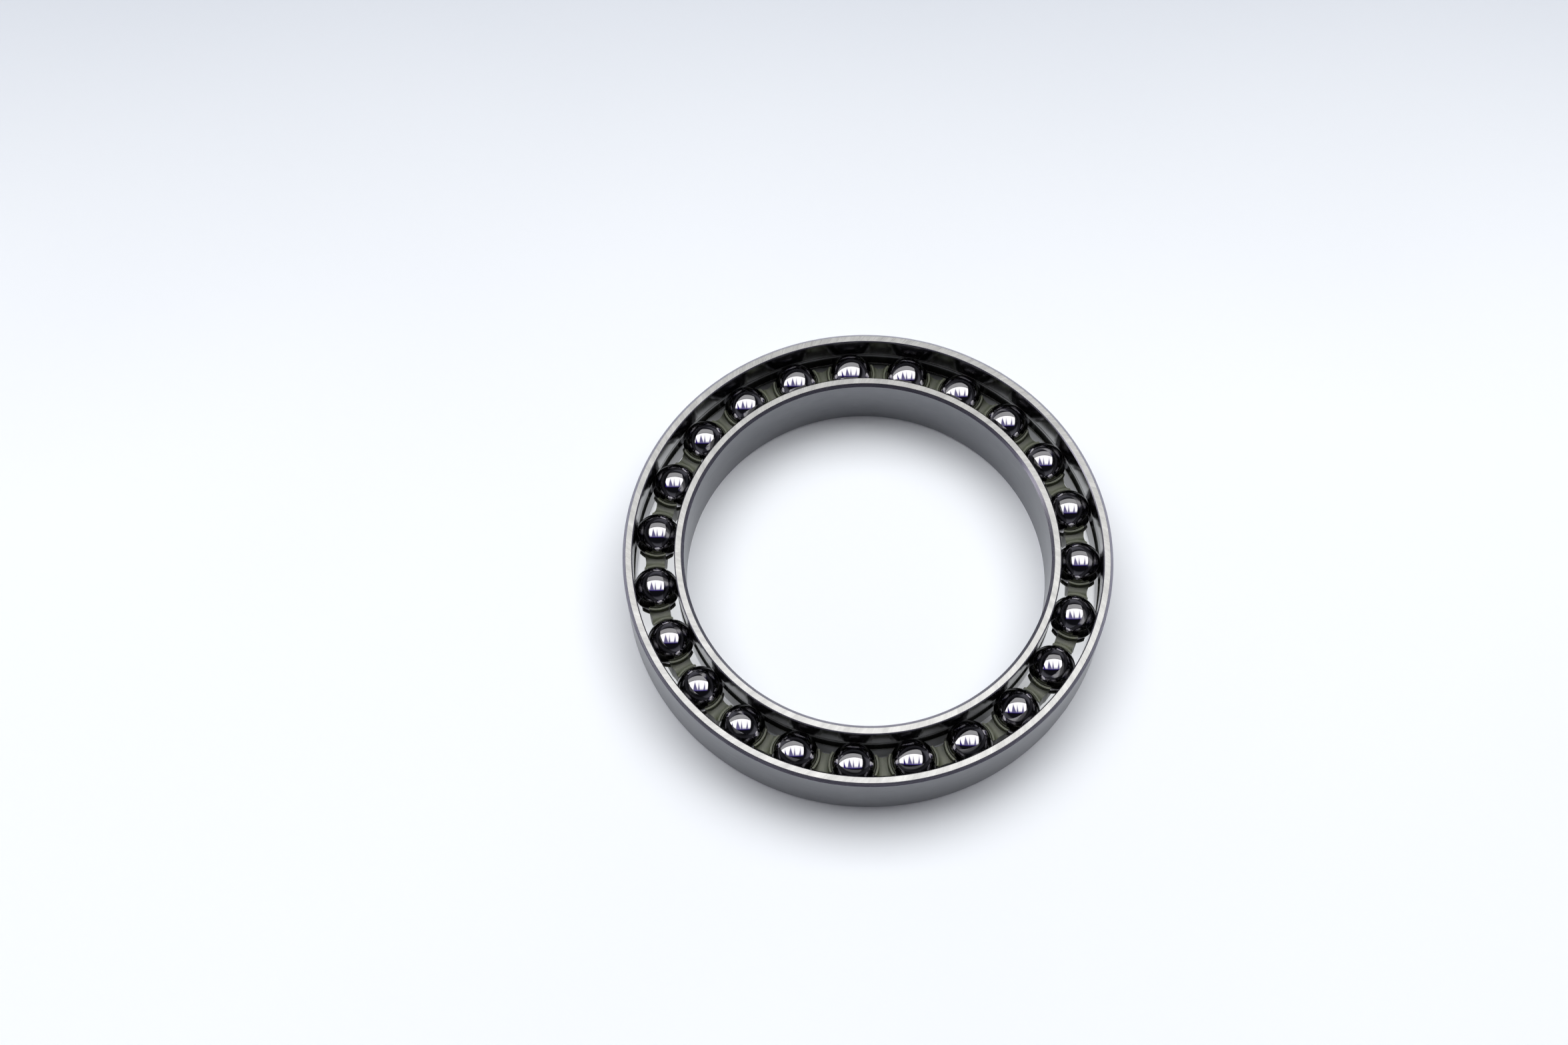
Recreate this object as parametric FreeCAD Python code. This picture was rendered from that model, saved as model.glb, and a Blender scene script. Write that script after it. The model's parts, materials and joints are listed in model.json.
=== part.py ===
import FreeCAD, Part
import math
import os

from FreeCAD import Vector

# A single-row flexible ball bearing of the wave-generator kind: two thin rings, a crown of
# balls between them, and a one-piece cage that the balls snap into from above.
# Millimetres and degrees. The origin is the bearing's centre and +Z is its axis; the cage's
# open side and the lips of its pockets face +Z.

# Rings
bore_diameter = 120.0
ring_width = 24.0
wall_behind_groove = 2.47        # each ring's steel between its groove and its plain side
groove_depth = 0.73              # from a ring's shoulder to the bottom of its groove
groove_to_ball_ratio = 0.52      # groove radius over ball diameter
bore_chamfer = 1.0
outside_chamfer = 1.0
shoulder_chamfer = 0.35

# Balls
ball_diameter = 15.0
ball_count = 23
first_ball_angle = 92.9          # turns the whole crown about +Z, from +X
race_clearance = 0.03            # between a ball and each groove

# Cage
cage_thickness = 6.8             # radial, where the cage stands between two balls
pocket_clearance = 0.15          # between a ball and its pocket
lip_overlap = 0.08               # how far a pocket's mouth closes over the ball
cup_wall = 0.7                   # shell around the lower part of each ball
cup_rim_drop = 2.4               # from the ball's centre down to the shell's rim
cup_side_gap = 1.3               # between the shell and a ring's shoulder
base_thickness = 1.8             # under the pockets
lip_wall = 0.6                   # the lips that hug the ball between two valleys
valley_drop = 0.4                # from the ball's centre down to the floor between two lips
valley_radius = 3.2              # of that rounded floor
scoop_depth = 0.35               # hollow in the sides of the cage between two balls
scoop_radius = 6.0

# What follows from them
ball_radius = ball_diameter / 2
bore_radius = bore_diameter / 2
inner_groove_bottom = bore_radius + wall_behind_groove
pitch_radius = inner_groove_bottom + race_clearance + ball_radius
outer_groove_bottom = pitch_radius + ball_radius + race_clearance
outside_radius = outer_groove_bottom + wall_behind_groove
inner_shoulder = inner_groove_bottom + groove_depth
outer_shoulder = outer_groove_bottom - groove_depth
groove_radius = groove_to_ball_ratio * ball_diameter
half_width = ring_width / 2

pocket_radius = ball_radius + pocket_clearance
mouth_radius = ball_radius - lip_overlap
lip_height = math.sqrt(pocket_radius ** 2 - mouth_radius ** 2)
cage_bottom = -(pocket_radius + base_thickness)
cup_reach = outer_shoulder - cup_side_gap - pitch_radius

axis = Vector(0, 0, 1)
overshoot = 2.0                  # how far a cutting tool runs past what it cuts


def ball_angles():
    """The angle of each ball about +Z, in degrees."""
    return [first_ball_angle + 360 / ball_count * step for step in range(ball_count)]


def gap_angles():
    """The angle halfway between each ball and the next."""
    return [angle + 180 / ball_count for angle in ball_angles()]


def turned(shape, angle):
    """A copy of a shape, turned about the bearing's axis."""
    copy = shape.copy()
    copy.rotate(Vector(0, 0, 0), axis, angle)
    return copy


def revolved(edges):
    """A solid of revolution about +Z from a closed outline in the XZ plane."""
    face = Part.Face(Part.Wire(edges))
    return face.revolve(Vector(0, 0, 0), axis, 360)


def outline(points):
    """Straight edges through (radius, height) points, left open."""
    corners = [Vector(radius, 0, height) for radius, height in points]
    return [Part.LineSegment(a, b).toShape() for a, b in zip(corners, corners[1:])]


def hoop(low_radius, high_radius, low, high):
    """A plain hoop of rectangular section."""
    corners = [(low_radius, low), (high_radius, low), (high_radius, high), (low_radius, high)]
    return revolved(outline(corners + corners[:1]))


def ring(plain_radius, plain_chamfer, shoulder, groove_bottom):
    """A ring with a chamfered plain side, two shoulders and the groove between them."""
    out = math.copysign(1, shoulder - plain_radius)
    centre = groove_bottom + out * groove_radius
    groove_half_width = math.sqrt(groove_radius ** 2 - (centre - shoulder) ** 2)
    lower = [
        (shoulder, -groove_half_width),
        (shoulder, -half_width + shoulder_chamfer),
        (shoulder - out * shoulder_chamfer, -half_width),
        (plain_radius + out * plain_chamfer, -half_width),
        (plain_radius, -half_width + plain_chamfer),
    ]
    upper = [(radius, -height) for radius, height in reversed(lower)]
    groove = Part.Arc(
        Vector(shoulder, 0, groove_half_width),
        Vector(groove_bottom, 0, 0),
        Vector(shoulder, 0, -groove_half_width),
    )
    return revolved(outline(lower + upper) + [groove.toShape()])


def balls_of(radius):
    """A sphere of this radius at each ball's centre."""
    centre = Vector(pitch_radius, 0, 0)
    return [turned(Part.makeSphere(radius, centre), angle) for angle in ball_angles()]


def valley():
    """The rounded trough along the radius at angle 0, kept clear of the lips on both sides."""
    start = Vector(pitch_radius - cage_thickness / 2 - overshoot, 0, valley_radius - valley_drop)
    length = cage_thickness + 2 * overshoot
    trough = Part.makeCylinder(valley_radius, length, start, Vector(1, 0, 0))
    lips = Part.makeSphere(pocket_radius + lip_wall, Vector(pitch_radius, 0, 0))
    return trough.cut([turned(lips, side * 180 / ball_count) for side in (-1, 1)])


def scoops():
    """Upright cylinders that hollow both sides of the cage between two balls."""
    reach = cage_thickness / 2 - scoop_depth + scoop_radius
    height = lip_height - cage_bottom + 2 * overshoot
    return [
        Part.makeCylinder(scoop_radius, height, Vector(radius, 0, cage_bottom - overshoot))
        for radius in (pitch_radius - reach, pitch_radius + reach)
    ]


def cage():
    """A crown: posts between the balls, a cup around the lower part of each, one base."""
    half = cage_thickness / 2
    posts = hoop(pitch_radius - half, pitch_radius + half, cage_bottom, lip_height)
    tools = [valley()] + scoops()
    posts = posts.cut([turned(tool, angle) for angle in gap_angles() for tool in tools])
    belt = hoop(pitch_radius - cup_reach, pitch_radius + cup_reach, cage_bottom, -cup_rim_drop)
    cups = [belt.common(sphere) for sphere in balls_of(pocket_radius + cup_wall)]
    return posts.fuse(cups).cut(balls_of(pocket_radius))


def only_solid(shape):
    """The one solid of a shape."""
    if len(shape.Solids) != 1:
        raise ValueError("expected one solid, not " + str(len(shape.Solids)))
    return shape.Solids[0]


def nodes():
    """Every piece of the bearing by name."""
    pieces = {
        "outer_ring": ring(outside_radius, outside_chamfer, outer_shoulder, outer_groove_bottom),
        "inner_ring": ring(bore_radius, bore_chamfer, inner_shoulder, inner_groove_bottom),
        "cage": cage(),
    }
    for number, ball in enumerate(balls_of(ball_radius), start=1):
        pieces["ball_%02d" % number] = ball
    return pieces


os.makedirs("parts", exist_ok=True)
for name, shape in nodes().items():
    solid = only_solid(shape)
    solid.exportStep("parts/" + name + ".step")
    print(name, solid.isValid(), round(solid.Volume, 2))
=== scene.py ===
import json
import math

import bmesh
import bpy
from mathutils import Matrix, Vector


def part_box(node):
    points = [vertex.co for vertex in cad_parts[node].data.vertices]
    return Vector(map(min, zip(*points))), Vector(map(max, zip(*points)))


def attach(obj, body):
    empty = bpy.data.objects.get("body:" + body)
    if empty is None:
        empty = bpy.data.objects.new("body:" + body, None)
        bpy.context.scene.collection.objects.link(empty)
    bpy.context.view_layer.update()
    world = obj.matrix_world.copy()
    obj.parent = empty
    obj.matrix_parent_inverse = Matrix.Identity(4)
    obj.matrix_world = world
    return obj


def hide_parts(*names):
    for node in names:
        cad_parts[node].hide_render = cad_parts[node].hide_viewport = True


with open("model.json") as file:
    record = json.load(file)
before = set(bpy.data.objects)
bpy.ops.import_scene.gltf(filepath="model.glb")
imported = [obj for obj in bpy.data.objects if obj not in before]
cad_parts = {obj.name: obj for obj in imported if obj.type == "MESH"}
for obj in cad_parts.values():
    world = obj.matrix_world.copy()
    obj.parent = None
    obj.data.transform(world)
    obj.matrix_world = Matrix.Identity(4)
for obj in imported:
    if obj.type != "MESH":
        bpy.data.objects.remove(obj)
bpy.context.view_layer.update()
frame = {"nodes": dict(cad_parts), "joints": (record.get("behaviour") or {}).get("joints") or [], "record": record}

# The whole script is in metres, in the frame of the CAD model: the origin is the bearing's
# centre, +Z is its axis, and the bearing lies on its lower face.

MM = 0.001

# Sizes read from the CAD model
outer_low, outer_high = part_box("outer_ring")
inner_low, inner_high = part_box("inner_ring")
top = outer_high.z
outside_radius = outer_high.x
bore_radius = next(m for m in frame["record"]["mounts"] if m["name"] == "bore")["dims"]["r_mm"] * MM
inner_shoulder = inner_high.x
ring_wall = inner_shoulder - bore_radius
outer_shoulder = outside_radius - ring_wall

# Sizes of the looks
groove_depth = 0.73 * MM
groove_radius = 7.8 * MM
plain_chamfer = 1.0 * MM
shoulder_chamfer = 0.35 * MM
edge_rounding = 0.07 * MM
edge_bevel = 0.15 * MM           # at both edges of a groove

# Fineness of the meshes
sectors = 512                    # of a ring, round the axis
rounding_steps = 4               # stretches in the rounding of an edge
rounding_hold = 1.8              # from a corner to the point beside its rounding, over its cut
groove_steps = 28                # stretches across a groove
ball_cuts = 27                   # of each edge of the cube that a ball is made from


# ---------------------------------------------------------------- meshes

def rounded(corners, radius):
    """A closed outline with each corner rounded, and a point on both sides of each rounding."""
    points = []
    count = len(corners)
    for index, (corner, zone) in enumerate(corners):
        before = Vector(corners[index - 1][0]) - Vector(corner)
        after = Vector(corners[(index + 1) % count][0]) - Vector(corner)
        half = before.angle(after) / 2
        cut = radius / math.tan(half)
        start = Vector(corner) + before.normalized() * cut
        end = Vector(corner) + after.normalized() * cut
        zone_before = corners[index - 1][1]
        points.append((Vector(corner) + before.normalized() * cut * rounding_hold, zone_before))
        points.append((start, zone_before))
        for step in range(1, rounding_steps):
            share = step / rounding_steps
            a = start.lerp(Vector(corner), share)
            b = Vector(corner).lerp(end, share)
            points.append((a.lerp(b, share), zone))
        points.append((end, zone))
        points.append((Vector(corner) + after.normalized() * cut * rounding_hold, zone))
    return points


def groove_points(shoulder, out):
    """Points across a groove from its lower edge to its upper one, each edge a tiny bevel."""
    centre = shoulder - out * groove_depth + out * groove_radius
    half_angle = math.acos((groove_radius - groove_depth) / groove_radius)
    land = groove_radius * math.sin(half_angle) + edge_bevel
    inside = half_angle - edge_bevel / groove_radius
    points = [(Vector((shoulder, -land)), "race")]
    for step in range(groove_steps + 1):
        angle = inside * (2 * step / groove_steps - 1)
        place = (centre - out * groove_radius * math.cos(angle), groove_radius * math.sin(angle))
        points.append((Vector(place), "edge" if step == 0 else "race"))
    return points + [(Vector((shoulder, land)), "edge")]


def ring_outline(plain_radius, shoulder):
    """The section of a ring as (point, finish of the stretch after it), from its lower shoulder."""
    out = math.copysign(1, shoulder - plain_radius)
    face_edge = plain_radius + out * plain_chamfer
    lower = [
        ((shoulder, -top + shoulder_chamfer), "chamfer"),
        ((shoulder - out * shoulder_chamfer, -top), "face"),
        ((face_edge, -top), "chamfer"),
        ((plain_radius, -top + plain_chamfer), "side"),
    ]
    upper = [
        ((plain_radius, top - plain_chamfer), "chamfer"),
        ((face_edge, top), "face"),
        ((shoulder - out * shoulder_chamfer, top), "chamfer"),
        ((shoulder, top - shoulder_chamfer), "race"),
    ]
    corners = rounded(lower + upper, edge_rounding)
    return corners + list(reversed(groove_points(shoulder, out)))


def new_object(name, mesh, materials):
    """An object in the scene that holds this mesh, with its materials in order."""
    for item in materials:
        mesh.materials.append(item)
    piece = bpy.data.objects.new(name, mesh)
    bpy.context.scene.collection.objects.link(piece)
    return piece


def finish_mesh(mesh, sharp_degrees):
    """Faces point outwards and are smooth, apart from edges sharper than the angle given."""
    work = bmesh.new()
    work.from_mesh(mesh)
    bmesh.ops.recalc_face_normals(work, faces=work.faces)
    work.to_mesh(mesh)
    work.free()
    mesh.shade_smooth()
    mesh.set_sharp_from_angle(angle=math.radians(sharp_degrees))


def lathe(name, outline, finishes):
    """A body of revolution from an outline of (point, finish) pairs."""
    zones = list(finishes)
    count = len(outline)
    vertices = []
    for sector in range(sectors):
        angle = 2 * math.pi * sector / sectors
        vertices += [(p.x * math.cos(angle), p.x * math.sin(angle), p.y) for p, zone in outline]
    faces = []
    for sector in range(sectors):
        here = sector * count
        there = (sector + 1) % sectors * count
        for index in range(count):
            following = (index + 1) % count
            faces.append((here + index, there + index, there + following, here + following))
    mesh = bpy.data.meshes.new(name)
    mesh.from_pydata(vertices, [], faces)
    slots = [zones.index(zone) for point, zone in outline] * sectors
    mesh.polygons.foreach_set("material_index", slots)
    finish_mesh(mesh, sharp_degrees=25)
    return new_object(name, mesh, finishes.values())


def ball_mesh(radius):
    """A sphere of even square faces: a finely divided cube, pushed out to the radius."""
    work = bmesh.new()
    bmesh.ops.create_cube(work, size=2)
    bmesh.ops.subdivide_edges(work, edges=work.edges[:], cuts=ball_cuts, use_grid_fill=True)
    for vertex in work.verts:
        x, y, z = (math.tan(value * math.pi / 4) for value in vertex.co)
        vertex.co = Vector((x, y, z)).normalized() * radius
    mesh = bpy.data.meshes.new("ball")
    work.to_mesh(mesh)
    work.free()
    finish_mesh(mesh, sharp_degrees=60)
    return mesh


# ---------------------------------------------------------------- materials

class Paint:
    """A procedural material under construction: its nodes, and its one shader."""

    def __init__(self, name, **settings):
        self.material = bpy.data.materials.new(name)
        self.material.use_nodes = True
        self.tree = self.material.node_tree
        self.shader = self.tree.nodes["Principled BSDF"]
        for socket, value in settings.items():
            self.shader.inputs[socket.replace("_", " ")].default_value = value
        self.coordinates = self.add("ShaderNodeTexCoord").outputs["Object"]

    def add(self, kind, inputs=(), **settings):
        """A node with its settings, and its inputs as numbers, vectors or linked sockets."""
        node = self.tree.nodes.new(kind)
        for key, value in settings.items():
            setattr(node, key, value)
        for socket, value in dict(inputs).items():
            if isinstance(value, bpy.types.NodeSocket):
                self.tree.links.new(value, node.inputs[socket])
            else:
                node.inputs[socket].default_value = value
        return node

    def maths(self, operation, *values):
        """The result of one arithmetic step."""
        return self.add("ShaderNodeMath", enumerate(values), operation=operation).outputs[0]

    def along_ring(self, slant=0.0):
        """Coordinates that follow the ring: arc length with a slant, radius, height."""
        split = self.add("ShaderNodeSeparateXYZ", {0: self.coordinates}).outputs
        radius = self.maths("SQRT", self.maths("ADD", self.maths("MULTIPLY", split[0], split[0]),
                                               self.maths("MULTIPLY", split[1], split[1])))
        angle = self.maths("ARCTAN2", split[1], split[0])
        arc = self.maths("MULTIPLY", angle, outside_radius)
        arc = self.maths("ADD", arc, self.maths("MULTIPLY", radius, slant))
        return self.add("ShaderNodeCombineXYZ", {0: arc, 1: radius, 2: split[2]}).outputs[0]

    def noise(self, coordinates, stretch, detail):
        """Noise with its own scale along each coordinate, in cycles per metre."""
        scaled = self.add("ShaderNodeVectorMath", {0: coordinates, 1: stretch}, operation="MULTIPLY")
        inputs = {"Vector": scaled.outputs[0], "Scale": 1.0, "Detail": detail, "Roughness": 0.6}
        return self.add("ShaderNodeTexNoise", inputs).outputs[0]

    def ranged(self, value, low, high, start=0.3, end=0.7):
        """A value mapped from the range start to end, to the range low to high."""
        inputs = {"Value": value, "From Min": start, "From Max": end, "To Min": low, "To Max": high}
        return self.add("ShaderNodeMapRange", inputs).outputs[0]

    def mixed(self, share, first, second):
        """Two colours mixed by a share from 0 to 1."""
        node = self.add("ShaderNodeMix", data_type="RGBA")
        self.tree.links.new(share, node.inputs[0])
        node.inputs[6].default_value = (*first, 1)
        node.inputs[7].default_value = (*second, 1)
        return node.outputs[2]

    def set(self, socket, value):
        """Link a value to an input of the shader."""
        self.tree.links.new(value, self.shader.inputs[socket])

    def bump(self, height, distance, strength):
        """Relief in the surface, of this height."""
        inputs = {"Height": height, "Distance": distance, "Strength": strength}
        self.set("Normal", self.add("ShaderNodeBump", inputs).outputs[0])


def ground_face():
    """Bright ground steel with fine marks that cross the ring's face at a slant."""
    paint = Paint("ground_face", Metallic=1.0)
    lay = paint.along_ring(slant=0.7)
    fine = paint.noise(lay, (5200, 260, 260), detail=3)
    broad = paint.noise(lay, (420, 120, 120), detail=2)
    marks = paint.maths("MULTIPLY", fine, broad)
    tone = paint.ranged(marks, 0, 1, 0.12, 0.42)
    paint.set("Base Color", paint.mixed(tone, (0.33, 0.33, 0.325), (0.50, 0.50, 0.49)))
    paint.set("Roughness", paint.ranged(fine, 0.24, 0.40))
    paint.bump(fine, 0.004 * MM, 0.6)
    return paint.material


def ground_side():
    """Satin ground steel with fine lines round the ring, its colour kept darker than the faces' steel as painted
    shade for the outer and bore walls.
    """
    paint = Paint("ground_side", Metallic=1.0)
    lay = paint.along_ring()
    lines = paint.noise(lay, (60, 3000, 5200), detail=3)
    cloud = paint.noise(lay, (90, 90, 140), detail=2)
    tone = paint.ranged(cloud, 0, 1)
    # painted shade: the walls' steel is darker than the faces', standing in for the shade on them
    paint.set("Base Color", paint.mixed(tone, (0.205, 0.21, 0.225), (0.225, 0.23, 0.245)))
    paint.set("Roughness", paint.ranged(lines, 0.26, 0.38))
    paint.bump(lines, 0.003 * MM, 0.5)
    return paint.material


def turned_chamfer():
    """The turned chamfers, darker and a little smoother than the ground faces."""
    paint = Paint("turned_chamfer", Metallic=1.0)
    lines = paint.noise(paint.along_ring(), (80, 6500, 6500), detail=2)
    tone = paint.ranged(lines, 0, 1)
    paint.set("Base Color", paint.mixed(tone, (0.26, 0.25, 0.30), (0.34, 0.33, 0.38)))
    paint.set("Roughness", paint.ranged(lines, 0.20, 0.32))
    paint.bump(lines, 0.003 * MM, 0.5)
    return paint.material


def polished_race():
    """Honed shoulders and grooves, dark and nearly a mirror, with faint running lines."""
    paint = Paint("polished_race", Metallic=1.0)
    lines = paint.noise(paint.along_ring(), (40, 2500, 7000), detail=3)
    tone = paint.ranged(lines, 0, 1)
    paint.set("Base Color", paint.mixed(tone, (0.20, 0.20, 0.205), (0.26, 0.26, 0.265)))
    paint.set("Roughness", paint.ranged(lines, 0.13, 0.20))
    paint.bump(lines, 0.001 * MM, 0.4)
    return paint.material


def groove_edge():
    """The fine bevels between shoulder and groove, paler and duller than both."""
    paint = Paint("groove_edge", Metallic=1.0)
    lines = paint.noise(paint.along_ring(), (300, 3000, 3000), detail=2)
    tone = paint.ranged(lines, 0, 1)
    paint.set("Base Color", paint.mixed(tone, (0.58, 0.57, 0.54), (0.70, 0.69, 0.66)))
    paint.set("Roughness", paint.ranged(lines, 0.45, 0.60))
    return paint.material


def ball_steel():
    """Mirror-polished ball steel with a very faint haze."""
    paint = Paint("ball_steel", Metallic=1.0)
    haze = paint.noise(paint.coordinates, (500, 500, 500), detail=3)
    tone = paint.ranged(haze, 0, 1)
    paint.set("Base Color", paint.mixed(tone, (0.36, 0.355, 0.37), (0.40, 0.395, 0.41)))
    paint.set("Roughness", paint.ranged(haze, 0.015, 0.03))
    return paint.material


def cage_nylon():
    """Olive moulded nylon: slightly translucent, cloudy in colour, with a fine grain."""
    paint = Paint("cage_nylon", Subsurface_Weight=0.35, Subsurface_Scale=1.2 * MM, IOR=1.53)
    paint.shader.inputs["Subsurface Radius"].default_value = (0.9, 1.0, 0.45)
    cloud = paint.noise(paint.coordinates, (260, 260, 260), detail=3)
    grain = paint.noise(paint.coordinates, (4200, 4200, 4200), detail=3)
    tone = paint.ranged(cloud, 0, 1)
    paint.set("Base Color", paint.mixed(tone, (0.055, 0.062, 0.040), (0.088, 0.094, 0.061)))
    paint.set("Roughness", paint.ranged(grain, 0.32, 0.48))
    paint.bump(grain, 0.006 * MM, 0.5)
    return paint.material


def pale_floor():
    """The near-white table top: darker towards the back, as painted shade, and glowing with painted light, most of
    all under the left and right of the annulus between the rings."""
    paint = Paint("pale_floor", Roughness=0.75)
    paint.shader.inputs["Emission Color"].default_value = (0.95, 0.97, 1.0, 1)
    split = paint.add("ShaderNodeSeparateXYZ", {0: paint.coordinates}).outputs
    length = paint.add("ShaderNodeVectorMath", {0: paint.coordinates}, operation="LENGTH")
    # painted light: the floor glows under the left and right of the annulus, where light falls through between the
    # rings, and faintly all over
    middle = (inner_shoulder + outer_shoulder) / 2
    offset = paint.maths("SUBTRACT", length.outputs["Value"], middle)
    annulus = paint.ranged(paint.maths("ABSOLUTE", offset), annulus_glow, 0.0, *annulus_fade)
    sides = paint.ranged(paint.maths("ABSOLUTE", split[0]), 0.0, 1.0, *annulus_sides)
    glow = paint.maths("ADD", paint.maths("MULTIPLY", annulus, sides), floor_glow)
    paint.set("Emission Strength", glow)
    cloud = paint.ranged(paint.noise(paint.coordinates, (3, 3, 3), detail=2), -0.04, 0.04)
    # painted shade: the floor's colour darkens towards the back
    far = paint.maths("POWER", paint.ranged(split[1], 0.0, 1.0, *floor_painted_shade), floor_painted_shade_power)
    share = paint.maths("ADD", far, cloud)
    paint.set("Base Color", paint.mixed(share, (0.86, 0.875, 0.90), (0.42, 0.45, 0.51)))
    return paint.material


# ---------------------------------------------------------------- the bearing

def build_rings():
    """Both rings, turned again from their outlines with a finish for each kind of face."""
    finishes = {
        "face": ground_face(),
        "side": ground_side(),
        "chamfer": turned_chamfer(),
        "race": polished_race(),
        "edge": groove_edge(),
    }
    shapes = {
        "outer_ring": (outside_radius, outer_shoulder),
        "inner_ring": (bore_radius, inner_shoulder),
    }
    for node, (plain_radius, shoulder) in shapes.items():
        piece = lathe("finished_" + node, ring_outline(plain_radius, shoulder), finishes)
        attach(piece, node)
        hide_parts(node)


def build_balls():
    """The balls, all of one mesh."""
    steel = ball_steel()
    nodes = sorted(name for name in frame["nodes"] if name.startswith("ball_"))
    low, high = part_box(nodes[0])
    mesh = ball_mesh((high.z - low.z) / 2)
    mesh.materials.append(steel)
    joints = {joint["child"]: joint for joint in frame["joints"]}
    for node in nodes:
        piece = bpy.data.objects.new("polished_" + node, mesh)
        bpy.context.scene.collection.objects.link(piece)
        piece.location = joints[node]["pos_m"]
        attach(piece, node)
        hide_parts(node)


def build_cage():
    """The cage keeps its CAD mesh and gets its material."""
    cage = frame["nodes"]["cage"]
    cage.data.materials.clear()
    cage.data.materials.append(cage_nylon())


# ---------------------------------------------------------------- the studio

camera_tilt = math.radians(23.70)      # from straight down
camera_roll = math.radians(0.69)
camera_distance = 701.3 * MM           # from the top face's centre, along the view
camera_aside = (27.3 * MM, -8.8 * MM)  # where that centre lies, right of and above the view's axis
camera_lens = 49.39
camera_clip = 0.01

# The panels' edges are angles from straight up, as seen from the bearing.
softbox_height = 10.0
softbox_west = math.radians(-75)
softbox_east = math.radians(43)
softbox_front = math.radians(-29)
softbox_back = math.radians(26)
softbox_colour = (1.0, 0.995, 0.985)
softbox_strength = 2.7

# The softbox's folds, with their reach given as shares of its depth from front to back
folds = [  # degrees from straight up, half width over the softbox's height, darkness
    (-48, 0.28, 1.0),
    (-21, 0.30, 0.9),
    (-2, 0.15, 0.9),
    (26, 0.18, 0.9),
]
fold_reach = (0.05, 0.95)              # from full width to nothing
fold_edge = 0.08                       # width of its soft edge, over the softbox's height
front_shade = (0.05, 0.27)             # the dark strip along the front edge, from dark to clear
fold_colour = (0.02, 0.008, 0.13)

bounce_back = math.radians(51)
bounce_gap = 0.045                     # from the softbox, over the softbox's height
bounce_colour = (1.0, 1.0, 1.0)
bounce_strength = 0.75

key_height = 9.0
key_reach = math.radians(38)           # to west and east
key_back = math.radians(43)
key_colour = (0.97, 0.985, 1.0)
key_strength = 4.35

floor_half = 30.0
# painted light: the floor's faint glow all over, which lifts its shadows
floor_glow = 0.07
floor_painted_shade = (20 * MM, 330 * MM)       # painted shade, towards the back, from pale to darker
floor_painted_shade_power = 1.7
# painted light: the floor's glow under the left and right of the annulus, for light falling through between the
# rings
annulus_glow = 0.60
annulus_fade = (7 * MM, 9 * MM)        # from the annulus's middle, from full glow to none
annulus_sides = (36 * MM, 60 * MM)     # to left and right of the axis, from no glow to full

room = [  # sine of the elevation, colour
    (0.0, (0.70, 0.74, 0.80)),
    (0.06, (0.20, 0.20, 0.23)),
    (0.42, (0.12, 0.12, 0.14)),
    (0.55, (0.012, 0.012, 0.016)),
]


def make_camera():
    """The camera looks down on the bearing from the front, a little off its centre."""
    data = bpy.data.cameras.new("camera")
    data.lens = camera_lens
    data.clip_start = camera_clip
    camera = bpy.data.objects.new("camera", data)
    turn = Matrix.Rotation(camera_tilt, 4, "X") @ Matrix.Rotation(-camera_roll, 4, "Z")
    aside = Vector((*camera_aside, -camera_distance))
    camera.matrix_world = Matrix.Translation(Vector((0, 0, top)) - turn.to_3x3() @ aside) @ turn
    bpy.context.scene.collection.objects.link(camera)
    bpy.context.scene.camera = camera


def emitter(name, colour, strength):
    """A material that only gives off light, and its paint to vary the light with."""
    paint = Paint(name, Roughness=1.0, Specular_IOR_Level=0.0, Emission_Strength=strength)
    paint.shader.inputs["Base Color"].default_value = (0, 0, 0, 1)
    paint.shader.inputs["Emission Color"].default_value = (*colour, 1)
    return paint


def streaked_softbox(front, back):
    """The softbox: a dark strip along its front edge, and dark folds that narrow towards its back."""
    paint = emitter("softbox", softbox_colour, softbox_strength)
    split = paint.add("ShaderNodeSeparateXYZ", {0: paint.coordinates}).outputs
    across = paint.maths("DIVIDE", split[0], softbox_height)
    along = paint.ranged(split[1], 0.0, 1.0, front, back)
    narrowing = paint.ranged(along, 1.0, 0.0, *fold_reach)
    shade = paint.ranged(along, 1.0, 0.0, *front_shade)
    for degrees, width, darkness in folds:
        place = math.tan(math.radians(degrees))
        distance = paint.maths("ABSOLUTE", paint.maths("SUBTRACT", across, place))
        inside = paint.maths("SUBTRACT", paint.maths("MULTIPLY", narrowing, width), distance)
        shade = paint.maths("MAXIMUM", shade, paint.ranged(inside, 0.0, darkness, 0.0, fold_edge))
    paint.set("Emission Color", paint.mixed(shade, softbox_colour, fold_colour))
    return paint.material


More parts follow.
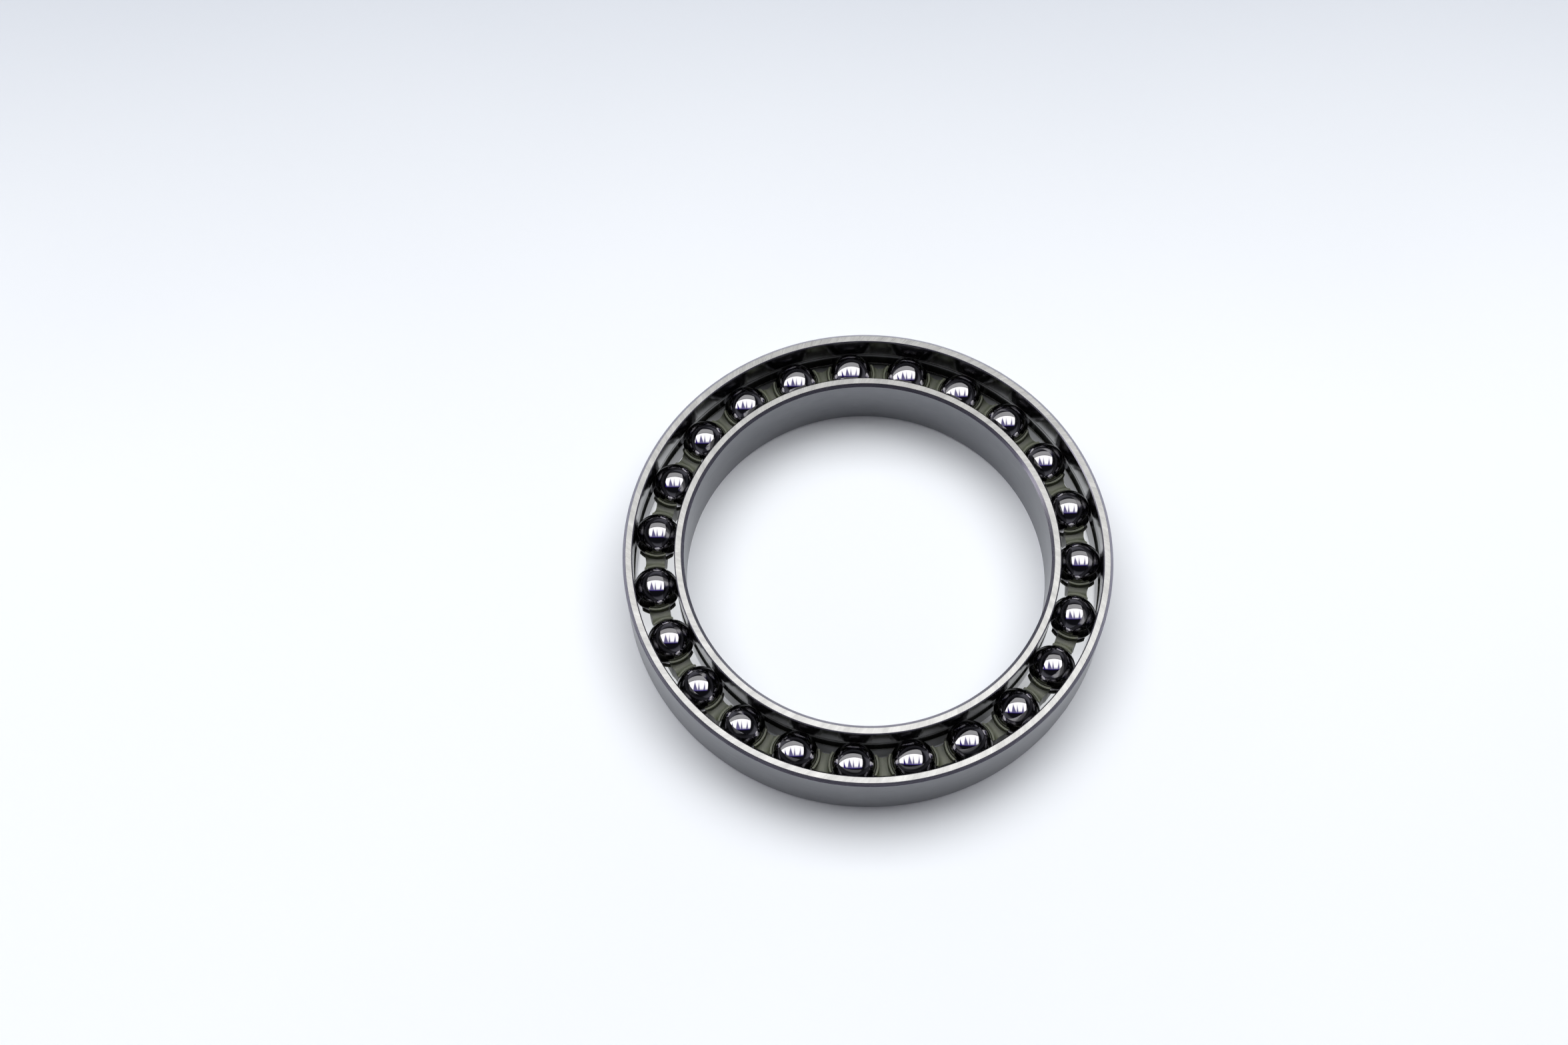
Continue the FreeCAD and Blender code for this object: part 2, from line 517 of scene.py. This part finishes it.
def panel(name, west, east, front, back, height, material):
    """A flat level panel overhead, given by its edges, facing down."""
    ends = [(west, front), (west, back), (east, back), (east, front)]
    corners = [(x, y, height) for x, y in ends]
    mesh = bpy.data.meshes.new(name)
    mesh.from_pydata(corners, [], [(0, 1, 2, 3)])
    piece = new_object(name, mesh, [material])
    return piece


def make_lights():
    """What is seen in reflections (softbox and bounce) and, hidden from them, what gives light."""
    west, east = (softbox_height * math.tan(edge) for edge in (softbox_west, softbox_east))
    front, back = (softbox_height * math.tan(edge) for edge in (softbox_front, softbox_back))
    far = softbox_height * math.tan(bounce_back)
    gap = bounce_gap * softbox_height
    softbox = panel("softbox", west, east, front, back, softbox_height, streaked_softbox(front, back))
    bounce = panel("bounce", west, east, back + gap, far, softbox_height,
                   emitter("bounce", bounce_colour, bounce_strength).material)
    for piece in (softbox, bounce):
        piece.visible_diffuse = False
    reach = key_height * math.tan(key_reach)
    key = panel("key", -reach, reach, 0.0, key_height * math.tan(key_back), key_height,
                emitter("key", key_colour, key_strength).material)
    key.visible_glossy = False


def make_floor():
    """A wide table top in the plane of the lower faces."""
    mesh = bpy.data.meshes.new("floor")
    ends = [(-floor_half, -floor_half), (floor_half, -floor_half),
            (floor_half, floor_half), (-floor_half, floor_half)]
    mesh.from_pydata([(x, y, -top) for x, y in ends], [], [(0, 1, 2, 3)])
    new_object("floor", mesh, [pale_floor()])


def make_world():
    """A dark room with a pale horizon and grey walls."""
    world = bpy.data.worlds.new("room")
    world.use_nodes = True
    tree = world.node_tree
    background = tree.nodes["Background"]
    split = tree.nodes.new("ShaderNodeSeparateXYZ")
    direction = tree.nodes.new("ShaderNodeTexCoord").outputs["Generated"]
    ramp = tree.nodes.new("ShaderNodeValToRGB")
    tree.links.new(direction, split.inputs[0])
    tree.links.new(split.outputs["Z"], ramp.inputs[0])
    tree.links.new(ramp.outputs[0], background.inputs["Color"])
    stops = ramp.color_ramp.elements
    stops.remove(stops[1])
    for position, colour in room:
        stop = stops[0] if position == 0 else stops.new(position)
        stop.position = position
        stop.color = (*colour, 1)
    bpy.context.scene.world = world


make_camera()
make_floor()
make_lights()
make_world()
build_rings()
build_balls()
build_cage()
bpy.context.scene.view_settings.view_transform = "Standard"
